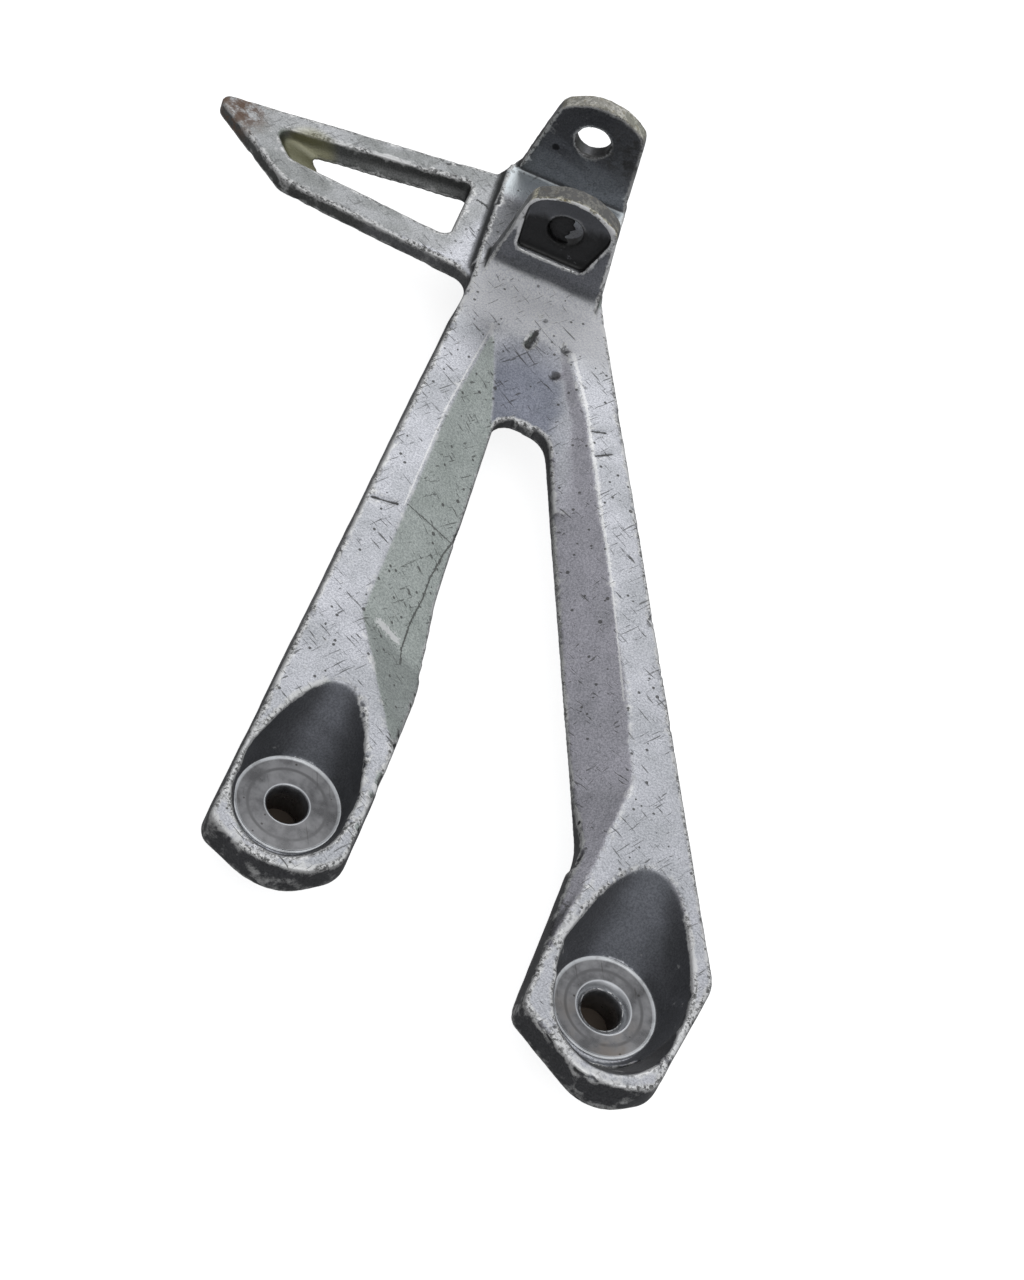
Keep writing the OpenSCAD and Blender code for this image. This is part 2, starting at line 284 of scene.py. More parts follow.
recess_floor = recess & (y > EAR_Y + 1.0) | (recess & (from_pin < 4.6))
keep_value(skin, "grease", recess_floor * smooth_step(0.9, -0.9, z - band_top))
keep_value(skin, "recess", recess_floor)
web_top = smooth_step(146, 158, y) * (y < EAR_Y + 0.5) * (z > 19.2) * (z < 24.5)
keep_value(skin, "web_top", web_top * smooth_step(0.45, 0.75, normals[:, 2]))
clevis_floor = (y > EAR_Y + 4) & (y < FAR_EAR_Y) & (z < 24) & (z > 17.9) & (x > -72)
clevis_floor = clevis_floor * smooth_step(0.5, 0.8, normals[:, 2])
keep_value(skin, "clevis_floor", clevis_floor * smooth_step(194, 198, y))
shoulder = (y > EAR_Y - 6) * smooth_step(17.9, 18.6, z) * (z < 34) * smooth_step(-0.05, -0.35, normals[:, 0])
keep_value(skin, "shoulder", np.maximum(shoulder, 0.8 * clevis_floor * smooth_step(198, 192, y)))
keep_value(skin, "lip", lip & ~recess_floor)
keep_value(skin, "pin_hole", (y > EAR_Y - 2) & (from_pin < 4.45))
grime_away = np.hypot(x + 46.5, z - 38.0) / 7.5
keep_value(skin, "grime", (y > 195) * (normals[:, 1] < -0.4) * smooth_step(1.5, 0.6, grime_away))


def add_node(tree, kind, inputs=None, **settings):
    """Adds a node, sets what it is told, and links or fills its named inputs."""
    made = tree.nodes.new(kind)
    for name, value in settings.items():
        setattr(made, name, value)
    for name, value in (inputs or {}).items():
        if isinstance(value, bpy.types.NodeSocket):
            tree.links.new(value, made.inputs[name])
        else:
            made.inputs[name].default_value = value
    return made


def read_value(tree, name):
    """The number that a piece's mesh keeps under this name."""
    return add_node(tree, "ShaderNodeAttribute", attribute_name=name).outputs["Fac"]


def ramp(tree, value, low, high, out_low=0.0, out_high=1.0):
    """Maps low..high of a value to out_low..out_high along an S-curve."""
    return add_node(
        tree,
        "ShaderNodeMapRange",
        {"Value": value, "From Min": low, "From Max": high, "To Min": out_low, "To Max": out_high},
        interpolation_type="SMOOTHSTEP",
    ).outputs["Result"]


def times(tree, a, b):
    """Product of two numbers or outputs."""
    return add_node(tree, "ShaderNodeMath", {0: a, 1: b}, operation="MULTIPLY").outputs[0]


def larger(tree, a, b):
    """The larger of two numbers or outputs."""
    return add_node(tree, "ShaderNodeMath", {0: a, 1: b}, operation="MAXIMUM").outputs[0]


def blend(tree, share, a, b, how="MIX"):
    """Mixes colour b into colour a by the share."""
    made = add_node(tree, "ShaderNodeMix", data_type="RGBA", blend_type=how)
    for socket, value in ((made.inputs[0], share), (made.inputs[6], a), (made.inputs[7], b)):
        if isinstance(value, bpy.types.NodeSocket):
            tree.links.new(value, socket)
        else:
            socket.default_value = value
    return made.outputs[2]


def grain(tree, place, scale, detail=3.0, rough=0.6):
    """Noise of the given scale per metre."""
    return add_node(
        tree,
        "ShaderNodeTexNoise",
        {"Vector": place, "Scale": scale, "Detail": detail, "Roughness": rough},
    ).outputs["Fac"]


def invert(tree, value):
    """One minus the value."""
    return add_node(tree, "ShaderNodeMath", {0: 1.0, 1: value}, operation="SUBTRACT").outputs[0]


def new_group(name, takes, gives):
    """Empty shader group with named inputs and outputs, each (name, socket kind,
    preset), and the two nodes that its inputs enter and its outputs leave by."""
    group = bpy.data.node_groups.new(name, "ShaderNodeTree")
    for label, kind, preset in takes:
        socket = group.interface.new_socket(label, in_out="INPUT", socket_type=kind)
        if preset is not None:
            socket.default_value = preset
    for label, kind in gives:
        group.interface.new_socket(label, in_out="OUTPUT", socket_type=kind)
    return group, group.nodes.new("NodeGroupInput"), group.nodes.new("NodeGroupOutput")


def use_group(tree, group, inputs):
    """Places a shader group in a material with its own values."""
    return add_node(tree, "ShaderNodeGroup", inputs, node_tree=group).outputs[0]


# A scratch: 1 within a width of the straight line between two points, seen from
# above, broken up by noise along its length.
scratch_line, taken, given = new_group(
    "scratch_line",
    (("Place", "NodeSocketVector", None), ("Start", "NodeSocketVector", None), ("End", "NodeSocketVector", None), ("Width", "NodeSocketFloat", 0.0003)),
    (("Mask", "NodeSocketFloat"),),
)
flat = {1: (1, 1, 0)}
from_start = add_node(scratch_line, "ShaderNodeVectorMath", {0: taken.outputs["Place"], 1: taken.outputs["Start"]}, operation="SUBTRACT").outputs[0]
from_start = add_node(scratch_line, "ShaderNodeVectorMath", {0: from_start, **flat}, operation="MULTIPLY").outputs[0]
along = add_node(scratch_line, "ShaderNodeVectorMath", {0: taken.outputs["End"], 1: taken.outputs["Start"]}, operation="SUBTRACT").outputs[0]
reach = add_node(scratch_line, "ShaderNodeVectorMath", {0: from_start, 1: along}, operation="DOT_PRODUCT").outputs["Value"]
whole = add_node(scratch_line, "ShaderNodeVectorMath", {0: along, 1: along}, operation="DOT_PRODUCT").outputs["Value"]
share = add_node(scratch_line, "ShaderNodeMath", {0: reach, 1: whole}, operation="DIVIDE", use_clamp=True).outputs[0]
nearest = add_node(scratch_line, "ShaderNodeVectorMath", {0: along, "Scale": share}, operation="SCALE").outputs[0]
away = add_node(scratch_line, "ShaderNodeVectorMath", {0: from_start, 1: nearest}, operation="DISTANCE").outputs["Value"]
away = add_node(scratch_line, "ShaderNodeMath", {0: away, 1: taken.outputs["Width"]}, operation="DIVIDE").outputs[0]
ragged = ramp(scratch_line, grain(scratch_line, taken.outputs["Place"], 1500, 2), 0.3, 0.7, 0.4, 1.7)
away = add_node(scratch_line, "ShaderNodeMath", {0: away, 1: ragged}, operation="MULTIPLY").outputs[0]
scratch_line.links.new(ramp(scratch_line, away, 1.2, 0.5), given.inputs["Mask"])

# Hairlines: noise drawn out a dozen times longer than wide along one direction, of
# which only the highest ridges show, and those only in patches.
hairlines, taken, given = new_group(
    "hairlines",
    (("Place", "NodeSocketVector", None), ("Turn", "NodeSocketVector", (0, 0, 0)), ("Fineness", "NodeSocketFloat", 60.0), ("Amount", "NodeSocketFloat", 0.5)),
    (("Mask", "NodeSocketFloat"),),
)
turned_place = add_node(hairlines, "ShaderNodeMapping", {"Vector": taken.outputs["Place"], "Rotation": taken.outputs["Turn"]}).outputs[0]
stretched = add_node(hairlines, "ShaderNodeVectorMath", {0: turned_place, 1: (1, 13, 5)}, operation="MULTIPLY").outputs[0]
ridge = add_node(
    hairlines,
    "ShaderNodeTexNoise",
    {"Vector": stretched, "Scale": taken.outputs["Fineness"], "Detail": 2.0, "Roughness": 0.55, "Distortion": 0.5},
).outputs["Fac"]
patch = grain(hairlines, taken.outputs["Place"], 160, 2, 0.5)
patch = ramp(hairlines, patch, 0.43, 0.52)
ridge = ramp(hairlines, ridge, 0.635, 0.69)
hairlines.links.new(times(hairlines, times(hairlines, ridge, patch), taken.outputs["Amount"]), given.inputs["Mask"])

# Pits: small round spots at scattered points, of which a share is kept.
pits, taken, given = new_group(
    "pits",
    (("Place", "NodeSocketVector", None), ("Spacing", "NodeSocketFloat", 400.0), ("Share", "NodeSocketFloat", 0.3), ("Size", "NodeSocketFloat", 0.2)),
    (("Mask", "NodeSocketFloat"),),
)
spots = add_node(pits, "ShaderNodeTexVoronoi", {"Vector": taken.outputs["Place"], "Scale": taken.outputs["Spacing"]})
kept = add_node(pits, "ShaderNodeSeparateColor", {"Color": spots.outputs["Color"]}).outputs[0]
kept = add_node(pits, "ShaderNodeMath", {0: kept, 1: taken.outputs["Share"]}, operation="LESS_THAN").outputs[0]
round_spot = add_node(pits, "ShaderNodeMath", {0: spots.outputs["Distance"], 1: taken.outputs["Size"]}, operation="LESS_THAN").outputs[0]
pits.links.new(times(pits, kept, round_spot), given.inputs["Mask"])

silver_paint = bpy.data.materials.new("worn_silver_paint")
silver_paint.use_nodes = True
tree = silver_paint.node_tree
surface = tree.nodes["Principled BSDF"]
place = add_node(tree, "ShaderNodeTexCoord").outputs["Object"]
flakes = grain(tree, place, 2400, 2.0, 0.75)
cloud = grain(tree, place, 90, 6, 0.62)
mottle = grain(tree, place, 420, 4, 0.7)
wall, wing, ear = (read_value(tree, n) for n in ("wall", "wing", "ear"))
pocket = read_value(tree, "pocket")
bulge_now = read_value(tree, "bulge")
colour = blend(tree, ramp(tree, flakes, 0.3, 0.7), (0.50, 0.51, 0.55, 1), (0.84, 0.85, 0.90, 1))
colour = blend(tree, ramp(tree, cloud, 0.35, 0.7, 0, 0.55), colour, (0.72, 0.74, 0.72, 1), "MULTIPLY")
# painted shade: the short leg's slope is tinted green-grey and the long leg's slope is darkened, each side toned for
# how the light falls on it
colour = blend(tree, times(tree, read_value(tree, "short_face"), 0.9), colour, (0.80, 0.86, 0.76, 1), "MULTIPLY")
colour = blend(tree, times(tree, read_value(tree, "long_face"), 0.9), colour, (0.80, 0.77, 0.80, 1), "MULTIPLY")
# painted shade: the insides of the bolt pockets darkened to slate
colour = blend(tree, times(tree, pocket, 0.9), colour, (0.25, 0.26, 0.285, 1), "MULTIPLY")
# painted shade: every upright wall darkened
colour = blend(tree, times(tree, wall, 0.85), colour, (0.37, 0.365, 0.35, 1), "MULTIPLY")
colour = blend(tree, times(tree, wing, ramp(tree, cloud, 0.3, 0.7, 0.7, 1.0)), colour, (0.56, 0.565, 0.53, 1), "MULTIPLY")
# painted shade: the ears' faces that look towards the fork darkened to slate grey
colour = blend(tree, ear, colour, (0.72, 0.73, 0.76, 1), "MULTIPLY")
# painted shade: the hollow between the two slopes darkened blue-grey
colour = blend(tree, read_value(tree, "hollow"), colour, (0.46, 0.475, 0.53, 1), "MULTIPLY")
# painted shade: the near ear's outer side and the clevis floor next to it darkened
colour = blend(tree, read_value(tree, "shoulder"), colour, (0.28, 0.28, 0.275, 1), "MULTIPLY")
# painted shade: the walls of the lower bosses darkened further
colour = blend(tree, read_value(tree, "boss_wall"), colour, (0.45, 0.45, 0.46, 1), "MULTIPLY")
# painted light: the clevis floor by the far ear lightened to a pale blue-white
colour = blend(tree, times(tree, read_value(tree, "clevis_floor"), 0.8), colour, (0.86, 0.93, 0.96, 1))

# the web's top under the near ear: painted light, pale and dull silver, where the blend would otherwise reflect dark
web_top = read_value(tree, "web_top")
pale_painted_light = blend(tree, ramp(tree, flakes, 0.3, 0.7), (0.72, 0.73, 0.78, 1), (1.0, 1.0, 1.0, 1))
colour = blend(tree, times(tree, web_top, 0.9), colour, pale_painted_light)

# rubbed edges are bright, with black chips beside them; concave corners are darker grey
rub = ramp(tree, add_node(tree, "ShaderNodeMath", {0: bulge_now, 1: times(tree, mottle, 0.14)}, operation="ADD").outputs[0], 0.085, 0.125)
colour = blend(tree, times(tree, rub, 0.85), colour, (0.93, 0.93, 0.92, 1))
corner_darkening = ramp(tree, add_node(tree, "ShaderNodeMath", {0: bulge_now, 1: times(tree, mottle, 0.08)}, operation="SUBTRACT").outputs[0], -0.05, -0.12)
colour = blend(tree, times(tree, corner_darkening, 0.6), colour, (0.10, 0.10, 0.10, 1))
chipped = times(tree, ramp(tree, read_value(tree, "chip"), 0.10, 0.24), ramp(tree, mottle, 0.42, 0.52))
colour = blend(tree, times(tree, chipped, 0.7), colour, (0.07, 0.07, 0.07, 1))

# fine black specks where the paint has flaked along the edges
specks = ramp(tree, grain(tree, place, 1250, 5, 0.75), 0.50, 0.56)
specks = times(tree, specks, ramp(tree, bulge_now, 0.012, 0.06))
specks = times(tree, specks, ramp(tree, grain(tree, place, 120, 2), 0.38, 0.55))
colour = blend(tree, times(tree, specks, 0.85), colour, (0.06, 0.06, 0.058, 1))

# small wear on the faces: two sets of hairlines, two sizes of pits, named scratches
open_face = times(tree, invert(tree, wall), invert(tree, pocket))
worn = use_group(tree, hairlines, {"Place": place, "Turn": (0, 0, 0.6), "Fineness": 130.0, "Amount": 0.95})
worn = larger(tree, worn, use_group(tree, hairlines, {"Place": place, "Turn": (0, 0, -0.9), "Fineness": 170.0, "Amount": 0.85}))
worn = larger(tree, worn, use_group(tree, pits, {"Place": place, "Spacing": 330.0, "Share": 0.10, "Size": 0.16}))
worn = larger(tree, worn, use_group(tree, pits, {"Place": place, "Spacing": 700.0, "Share": 0.10, "Size": 0.24}))
worn = times(tree, worn, invert(tree, times(tree, wall, 0.6)))
worn = times(tree, worn, invert(tree, times(tree, pocket, 0.85)))
worn = times(tree, worn, invert(tree, times(tree, wing, 0.55)))
SCRATCHES = (
    ((-75.6, 89.4), (-69.9, 90.1), 0.2), ((-67.9, 91.2), (-55.8, 90.2), 0.16),
    ((-55.2, 92.5), (-56.8, 86.9), 0.22), ((-56.8, 86.9), (-58.1, 78.4), 0.2),
    ((-58.1, 78.4), (-58.2, 72.7), 0.2), ((-58.2, 72.7), (-59.2, 65.2), 0.22),
    ((-59.2, 65.2), (-59.2, 58.4), 0.2), ((-59.2, 58.4), (-58.5, 54.2), 0.2),
    ((-34.1, 132.2), (-30.9, 133.4), 0.22), ((-31.8, 125.5), (-28.2, 128.0), 0.22),
    ((-53.4, 150.6), (-52.4, 156.0), 0.55), ((-75.4, 192.2), (-73.0, 191.4), 0.3),
    ((-73.0, 191.4), (-71.9, 189.6), 0.3),
)
for start, end, width in SCRATCHES:
    one = use_group(tree, scratch_line, {
        "Place": place,
        "Start": (start[0] * MM, start[1] * MM, 0),
        "End": (end[0] * MM, end[1] * MM, 0),
        "Width": width * MM,
    })
    worn = larger(tree, worn, times(tree, one, invert(tree, wall)))
colour = blend(tree, times(tree, worn, 0.8), colour, (0.07, 0.07, 0.065, 1))

# ridges of the two slopes, rubbed bright, and a burnished patch low on the short one
RUBBED = (
    ((-43.0, 153.0), (-36.7, 138.7), 0.5), ((-36.7, 138.7), (-27.3, 110.9), 0.42),
    ((-27.3, 110.9), (-21.3, 93.0), 0.3), ((-21.3, 93.0), (-12.5, 63.7), 0.2),
    ((-62.8, 151.8), (-62.2, 148.6), 0.6), ((-62.8, 150.8), (-66.7, 121.8), 0.22),
    ((-66.7, 121.8), (-68.5, 90.6), 0.2), ((-65.3, 60.4), (-61.2, 59.6), 0.9),
)
for start, end, width in RUBBED:
    one = use_group(tree, scratch_line, {
        "Place": place,
        "Start": (start[0] * MM, start[1] * MM, 0),
        "End": (end[0] * MM, end[1] * MM, 0),
        "Width": width * MM,
    })
    one = times(tree, one, invert(tree, wall))
    colour = blend(tree, times(tree, one, 0.75), colour, (1.0, 1.0, 1.0, 1))

# stains: rust at the wing's tip, olive crust on the near ear's end, grime and
# grease round the pin
tip = add_node(tree, "ShaderNodeVectorMath", {0: place, 1: (-0.1365, 0.1885, 0.0175)}, operation="DISTANCE").outputs["Value"]
rust = times(tree, ramp(tree, tip, 0.011, 0.003), ramp(tree, mottle, 0.38, 0.6))
colour = blend(tree, times(tree, rust, 0.85), colour, (0.17, 0.085, 0.04, 1))
narrow = add_node(tree, "ShaderNodeVectorMath", {0: place, 1: (-0.1165, 0.1865, 0.0140)}, operation="DISTANCE").outputs["Value"]
colour = blend(tree, times(tree, ramp(tree, narrow, 0.0085, 0.005), 0.75), colour, (0.34, 0.33, 0.20, 1))
ear_end = read_value(tree, "ear_end")
crust = larger(
    tree,
    ramp(tree, grain(tree, place, 480, 5, 0.7), 0.48, 0.54),
    ramp(tree, grain(tree, place, 1300, 3, 0.8), 0.52, 0.57),
)
crust = times(tree, ear_end, crust)
colour = blend(tree, times(tree, ear_end, 0.85), colour, (0.80, 0.76, 0.60, 1))
colour = blend(tree, times(tree, crust, 0.8), colour, (0.06, 0.052, 0.035, 1))
ochre = times(tree, ear_end, ramp(tree, grain(tree, place, 650, 3), 0.58, 0.66))
colour = blend(tree, times(tree, ochre, 0.6), colour, (0.42, 0.33, 0.14, 1))
# painted shade: the near ear's recess darkened
colour = blend(tree, times(tree, read_value(tree, "recess"), 0.75), colour, (0.17, 0.172, 0.18, 1))
spot = add_node(tree, "ShaderNodeVectorMath", {0: place, 1: (-0.0628, 0.2055, 0.0306)}, operation="DISTANCE").outputs["Value"]
colour = blend(tree, times(tree, ramp(tree, spot, 0.0012, 0.0007), 0.85), colour, (0.02, 0.02, 0.02, 1))
grime = times(tree, read_value(tree, "grime"), ramp(tree, mottle, 0.38, 0.58))
colour = blend(tree, times(tree, grime, 0.85), colour, (0.03, 0.03, 0.028, 1))
grease = times(tree, read_value(tree, "grease"), ramp(tree, mottle, 0.30, 0.36))
# the pin holes' walls nearly black: grease, and painted shade
colour = blend(tree, times(tree, read_value(tree, "pin_hole"), 0.85), colour, (0.03, 0.03, 0.03, 1))
colour = blend(tree, times(tree, grease, 0.97), colour, (0.008, 0.008, 0.008, 1))
bright_lip = times(tree, read_value(tree, "lip"), ramp(tree, bulge_now, 0.03, 0.07))
bright_lip = times(tree, bright_lip, ramp(tree, grain(tree, place, 260, 3), 0.42, 0.5))
colour = blend(tree, times(tree, bright_lip, 0.95), colour, (1.0, 1.0, 1.0, 1))
tree.links.new(colour, surface.inputs["Base Color"])
dull = larger(tree, larger(tree, times(tree, larger(tree, worn, specks), 0.8), grime), larger(tree, times(tree, ear_end, 0.9), rust))
dull = larger(tree, dull, times(tree, pocket, 0.85))
dull = larger(tree, dull, larger(tree, bright_lip, times(tree, web_top, 0.9)))
tree.links.new(ramp(tree, larger(tree, dull, grease), 0.0, 1.0, 0.9, 0.1), surface.inputs["Metallic"])
sheen = ramp(tree, cloud, 0.3, 0.7, 0.29, 0.40)
tree.links.new(larger(tree, sheen, times(tree, dull, 0.75)), surface.inputs["Roughness"])
relief = add_node(tree, "ShaderNodeMath", {0: flakes, 1: times(tree, larger(tree, larger(tree, worn, specks), crust), 1.5)}, operation="SUBTRACT").outputs[0]
bump = add_node(tree, "ShaderNodeBump", {"Height": relief, "Strength": 0.45, "Distance": 0.00014})
tree.links.new(bump.outputs["Normal"], surface.inputs["Normal"])
casting.data.materials.clear()
casting.data.materials.append(silver_paint)

# Old grease in the near ear's pin hole: a soft black lens that clings to the wall
# on one side and leaves a crescent open on the other.
GREASE_HALF_THICK = 0.6
GREASE_Y = 173.6

turns_up = np.linspace(-0.97, 0.97, 40)
left_wall = -4.25 * np.sqrt(1 - turns_up**2)
free_edge = np.minimum(-left_wall, 1.3 + 0.5 * np.sin(5 * turns_up + 1) + 0.3 * np.sin(13 * turns_up))
middle, half = (free_edge + left_wall) / 2, (free_edge - left_wall) / 2
angle = np.linspace(0, 2 * np.pi, 20, endpoint=False)
rings = np.stack(
    [
        PIN[0] + middle[:, None] + half[:, None] * np.cos(angle),
        GREASE_Y + GREASE_HALF_THICK * np.sqrt(1 - turns_up**2)[:, None] * np.sin(angle),
        np.repeat(PIN[1] + 4.25 * turns_up[:, None], 20, 1),
    ],
    2,
)
row, column = np.meshgrid(np.arange(39), np.arange(20), indexing="ij")
next_column = (column + 1) % 20
sides = np.stack(
    [row * 20 + column, row * 20 + next_column, (row + 1) * 20 + next_column, (row + 1) * 20 + column], 2
)
grease_mesh = bpy.data.meshes.new("pin_hole_grease")
grease_mesh.from_pydata(
    (rings.reshape(-1, 3) * MM).tolist(),
    [],
    sides.reshape(-1, 4).tolist() + [list(range(20)), list(range(799, 779, -1))],
)
facing_out = bmesh.new()
facing_out.from_mesh(grease_mesh)
bmesh.ops.recalc_face_normals(facing_out, faces=facing_out.faces)
facing_out.to_mesh(grease_mesh)
facing_out.free()
grease_mesh.shade_smooth()
pin_hole_grease = bpy.data.objects.new("pin_hole_grease", grease_mesh)
bpy.context.scene.collection.objects.link(pin_hole_grease)
black_grease = bpy.data.materials.new("black_grease")
black_grease.use_nodes = True
tree = black_grease.node_tree
surface = tree.nodes["Principled BSDF"]
place = add_node(tree, "ShaderNodeTexCoord").outputs["Object"]
lumps = grain(tree, place, 900, 4, 0.7)
colour = blend(tree, ramp(tree, lumps, 0.4, 0.7), (0.006, 0.006, 0.006, 1), (0.03, 0.03, 0.032, 1))
tree.links.new(colour, surface.inputs["Base Color"])
tree.links.new(ramp(tree, lumps, 0.3, 0.7, 0.3, 0.6), surface.inputs["Roughness"])
bump = add_node(tree, "ShaderNodeBump", {"Height": lumps, "Strength": 0.8, "Distance": 0.0004})
tree.links.new(bump.outputs["Normal"], surface.inputs["Normal"])
grease_mesh.materials.append(black_grease)
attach(pin_hole_grease, "root")

# The machined bolt seats: a flat turned face, the bevel at the hole's mouth and
# the bore, all in bare aluminium, cut into the casting after it was poured.
SEAT_Z = 9.0
SEAT_RADIUS = 10.2
BORE_RADIUS = 4.16


def turned(name, profile, centre, steps=128):
    """Closed ring turned about an upright axis: each profile point (radius, height)
    goes once round the centre, and the last profile point joins the first."""
    radius, height = np.array(profile, float).T
    angle = np.linspace(0, 2 * np.pi, steps, endpoint=False)
    ring = np.stack(
        [
            centre[0] + radius[:, None] * np.cos(angle),
            centre[1] + radius[:, None] * np.sin(angle),
            np.repeat(height[:, None], steps, 1),
        ],
        2,
    )
    rows, columns = len(profile), steps
    i, j = np.meshgrid(np.arange(rows), np.arange(columns), indexing="ij")
    after_i, after_j = (i + 1) % rows, (j + 1) % columns
    faces = np.stack(
        [i * columns + j, i * columns + after_j, after_i * columns + after_j, after_i * columns + j],
        2,
    )
    mesh = bpy.data.meshes.new(name)
    mesh.from_pydata((ring.reshape(-1, 3) * MM).tolist(), [], faces.reshape(-1, 4).tolist())
    mesh.update()
    made = bpy.data.objects.new(name, mesh)
    bpy.context.scene.collection.objects.link(made)
    return made


bare_metal = bpy.data.materials.new("machined_aluminium")
bare_metal.use_nodes = True
tree = bare_metal.node_tree
surface = tree.nodes["Principled BSDF"]
place = add_node(tree, "ShaderNodeTexCoord").outputs["Object"]
worn = larger(tree,
    use_group(tree, hairlines, {"Place": place, "Turn": (0, 0, 1.2), "Fineness": 110.0, "Amount": 0.6}),
    use_group(tree, pits, {"Place": place, "Spacing": 800.0, "Share": 0.10, "Size": 0.2}))
for start, end, width in (((-77.5, 7.7), (-75.3, 6.3), 0.4), ((-75.3, 6.3), (-73.3, 5.1), 0.3)):
    worn = larger(tree, worn, use_group(tree, scratch_line, {
        "Place": place,
        "Start": (start[0] * MM, start[1] * MM, 0),
        "End": (end[0] * MM, end[1] * MM, 0),
        "Width": width * MM,
    }))
cloud = grain(tree, place, 260, 5, 0.6)
colour = blend(tree, ramp(tree, cloud, 0.3, 0.7), (0.15, 0.15, 0.155, 1), (0.36, 0.36, 0.37, 1))
low_side = add_node(tree, "ShaderNodeSeparateXYZ", {0: place}).outputs["Y"]
damp = ramp(tree, grain(tree, place, 130, 4), 0.42, 0.62)
long_low = times(tree, ramp(tree, low_side, 0.002, -0.006), damp)
colour = blend(tree, times(tree, long_low, 0.6), colour, (0.20, 0.165, 0.13, 1))
colour = blend(tree, times(tree, worn, 0.7), colour, (0.06, 0.055, 0.05, 1))

# rings round each bolt: a painted highlight on the bevel, the washer's dark print, and a
# painted highlight on the root where the cutter met the ramp
from_above = add_node(tree, "ShaderNodeVectorMath", {0: place, 1: (1, 1, 0)}, operation="MULTIPLY").outputs[0]
from_bolt = [
    add_node(tree, "ShaderNodeVectorMath", {0: from_above, 1: (bolt[0] * MM, bolt[1] * MM, 0)}, operation="DISTANCE").outputs["Value"]
    for bolt in (LONG_BOLT, SHORT_BOLT)
]
mouth = larger(tree, ramp(tree, from_bolt[0], 0.0060, 0.0057), ramp(tree, from_bolt[1], 0.0048, 0.0045))
from_bolt = add_node(tree, "ShaderNodeMath", {0: from_bolt[0], 1: from_bolt[1]}, operation="MINIMUM").outputs[0]
print_ring = times(tree, ramp(tree, from_bolt, 0.0074, 0.0078), ramp(tree, from_bolt, 0.0084, 0.0080))
print_ring = times(tree, print_ring, ramp(tree, cloud, 0.35, 0.6, 0.1, 0.55))
colour = blend(tree, print_ring, colour, (0.08, 0.08, 0.08, 1))
# painted highlight: a bright ring at the root of the pocket wall
root = times(tree, ramp(tree, from_bolt, 0.0099, 0.0103), ramp(tree, cloud, 0.3, 0.6, 0.5, 1.0))
colour = blend(tree, root, colour, (0.80, 0.82, 0.84, 1))
# painted highlight: the bevel at the hole's mouth lightened
mouth = times(tree, mouth, ramp(tree, from_bolt, 0.0041, 0.0043))
colour = blend(tree, times(tree, mouth, 0.8), colour, (0.85, 0.87, 0.9, 1))
tree.links.new(colour, surface.inputs["Base Color"])
surface.inputs["Metallic"].default_value = 0.88
tree.links.new(ramp(tree, cloud, 0.3, 0.7, 0.26, 0.42), surface.inputs["Roughness"])

for name, bolt, bevel in (("long_bolt_seat", LONG_BOLT, 1.4), ("short_bolt_seat", SHORT_BOLT, 0.25)):
    top = SEAT_Z + 0.05
    seat = turned(
        name,
        [
            (SEAT_RADIUS + 0.8, top - 0.6),
            (SEAT_RADIUS + 0.8, top + 0.1),
            (SEAT_RADIUS + 0.6, top + 0.26),
            (SEAT_RADIUS + 0.35, top + 0.28),
            (SEAT_RADIUS + 0.1, top + 0.14),
            (SEAT_RADIUS - 0.15, top),
            (8.2, top),
            (8.0, top - 0.05),
            (BORE_RADIUS + bevel + 0.1, top - 0.05),
            (BORE_RADIUS + bevel, top - 0.1),
            (BORE_RADIUS, top - 0.1 - bevel),
            (BORE_RADIUS, 0.05),
            (BORE_RADIUS + 0.3, 0.05),
            (BORE_RADIUS + 0.3, top - 0.6 - bevel),
        ],
        bolt,
    )
    seat.data.materials.append(bare_metal)
    seat.data.shade_smooth()
    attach(seat, "root")

# Studio: a pale floor, a broad soft light behind and above that fades towards the
# camera and the left, and the shade that a bolt hole leaves on the floor under it.
floor_mesh = bpy.data.meshes.new("floor")
side = 60.0
floor_mesh.from_pydata(
    [(-side, -side, -0.0003), (side, -side, -0.0003), (side, side, -0.0003), (-side, side, -0.0003)],
    [],
    [(0, 1, 2, 3)],
)
floor = bpy.data.objects.new("floor", floor_mesh)
bpy.context.scene.collection.objects.link(floor)
floor_paper = bpy.data.materials.new("floor_paper")
floor_paper.use_nodes = True
tree = floor_paper.node_tree
surface = tree.nodes["Principled BSDF"]
surface.inputs["Roughness"].default_value = 0.9
surface.inputs["Specular IOR Level"].default_value = 0.0
seen = add_node(tree, "ShaderNodeLightPath").outputs["Is Camera Ray"]
place = add_node(tree, "ShaderNodeTexCoord").outputs["Object"]
in_shade = 0.0
for bolt in (LONG_BOLT, SHORT_BOLT):
    away = add_node(
        tree, "ShaderNodeVectorMath", {0: place, 1: (bolt[0] * MM, bolt[1] * MM, -0.0003)}, operation="DISTANCE"
    ).outputs["Value"]
    in_shade = larger(tree, in_shade, ramp(tree, away, 0.008, 0.006))
lit = times(tree, seen, invert(tree, in_shade))
paper = blend(tree, lit, (0.36, 0.36, 0.36, 1), (0.62, 0.62, 0.62, 1))
tree.links.new(blend(tree, in_shade, paper, (0.13, 0.105, 0.085, 1)), surface.inputs["Base Color"])
surface.inputs["Emission Color"].default_value = (1, 1, 1, 1)
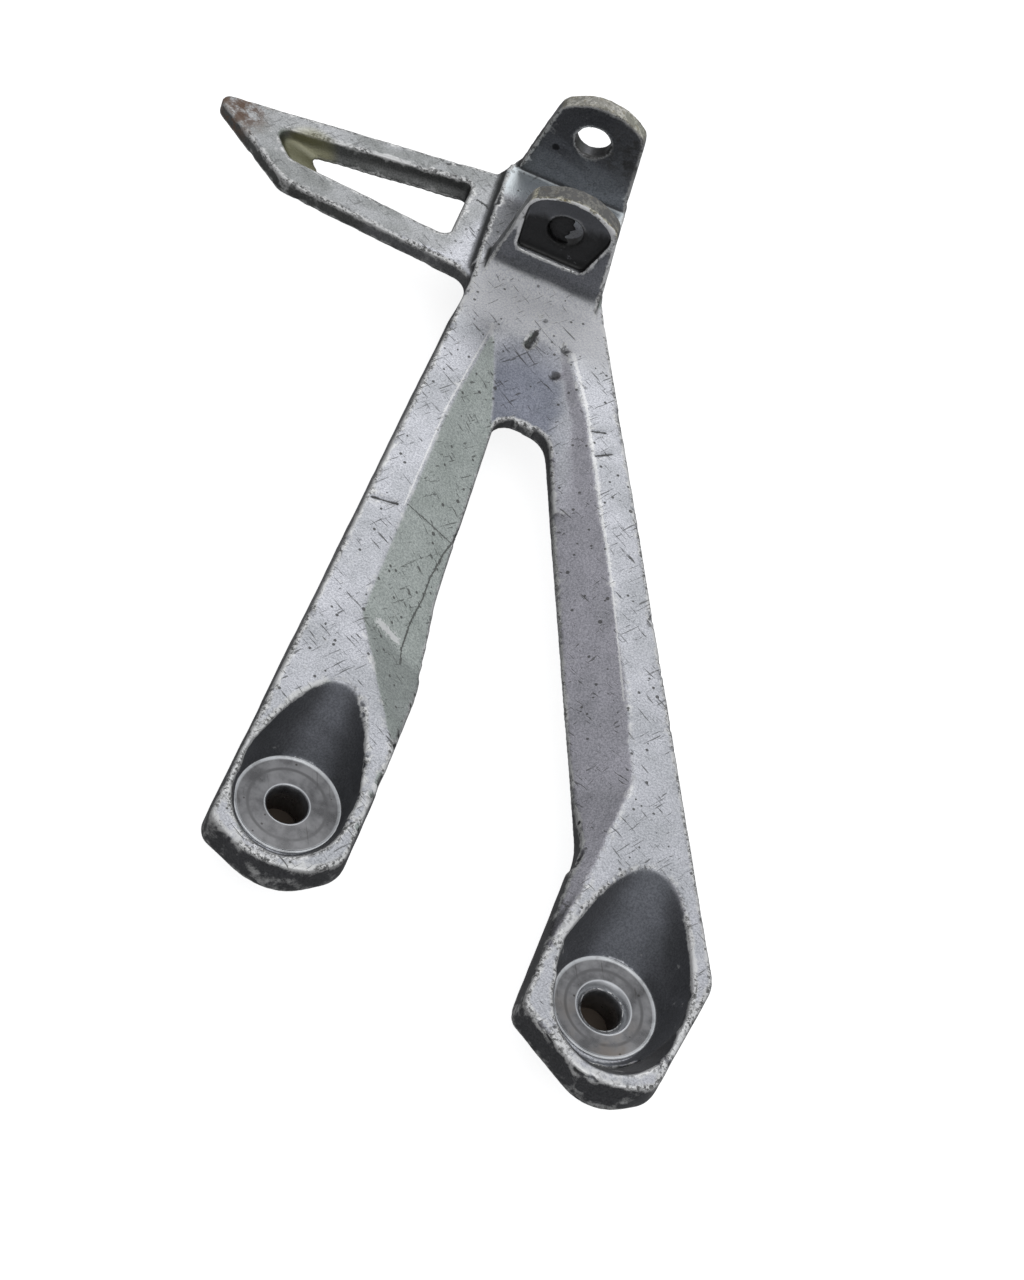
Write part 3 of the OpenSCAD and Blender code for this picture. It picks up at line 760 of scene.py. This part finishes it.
tree.links.new(times(tree, lit, 0.84), surface.inputs["Emission Strength"])
floor_mesh.materials.append(floor_paper)

world = bpy.data.worlds.new("studio")
bpy.context.scene.world = world
world.use_nodes = True
tree = world.node_tree
background = tree.nodes["Background"]
direction = add_node(tree, "ShaderNodeTexCoord").outputs["Generated"]
towards_window = add_node(
    tree, "ShaderNodeVectorMath", {0: direction, 1: (0.25, 0.35, 0.90)}, operation="DOT_PRODUCT"
).outputs["Value"]
seen = add_node(tree, "ShaderNodeLightPath").outputs["Is Camera Ray"]
tree.links.new(larger(tree, times(tree, seen, 0.97), ramp(tree, towards_window, 0.25, 0.95, 0.30, 0.68)), background.inputs["Strength"])
background.inputs["Color"].default_value = (0.97, 0.98, 1.0, 1)


def soft_light(name, position, size, power, aim=(-0.07, 0.08, 0.01)):
    """Square area light at a position, turned towards the object."""
    data = bpy.data.lights.new(name, "AREA")
    data.shape = "SQUARE"
    data.size = size
    data.energy = power
    made = bpy.data.objects.new(name, data)
    made.location = position
    made.rotation_euler = (Vector(aim) - Vector(position)).to_track_quat("-Z", "Y").to_euler()
    bpy.context.scene.collection.objects.link(made)


soft_light("back_softbox", (-0.1, 1.3, 0.9), 0.8, 1.2)
soft_light("front_softbox", (0.07, -0.5, 0.95), 0.7, 0.95)

# Camera: a phone's view from the front and above, square to neither leg.
camera_data = bpy.data.cameras.new("camera")
camera_data.sensor_width = 36
camera_data.sensor_fit = "HORIZONTAL"
camera_data.lens = 36 * 2200 / 1024
camera_data.clip_start = 0.01
camera_data.clip_end = 20
camera = bpy.data.objects.new("camera", camera_data)
bpy.context.scene.collection.objects.link(camera)
right = Vector((0.9205, 0.2120, 0.3280)).normalized()
ahead = Vector((0.1283, 0.6290, -0.7668))
ahead = (ahead - right * ahead.dot(right)).normalized()
up = right.cross(ahead)
camera.matrix_world = Matrix.Translation((-0.0966, -0.2170, 0.3666)) @ Matrix(
    (right, up, -ahead)
).transposed().to_4x4()
bpy.context.scene.camera = camera
bpy.context.scene.view_settings.view_transform = "Standard"
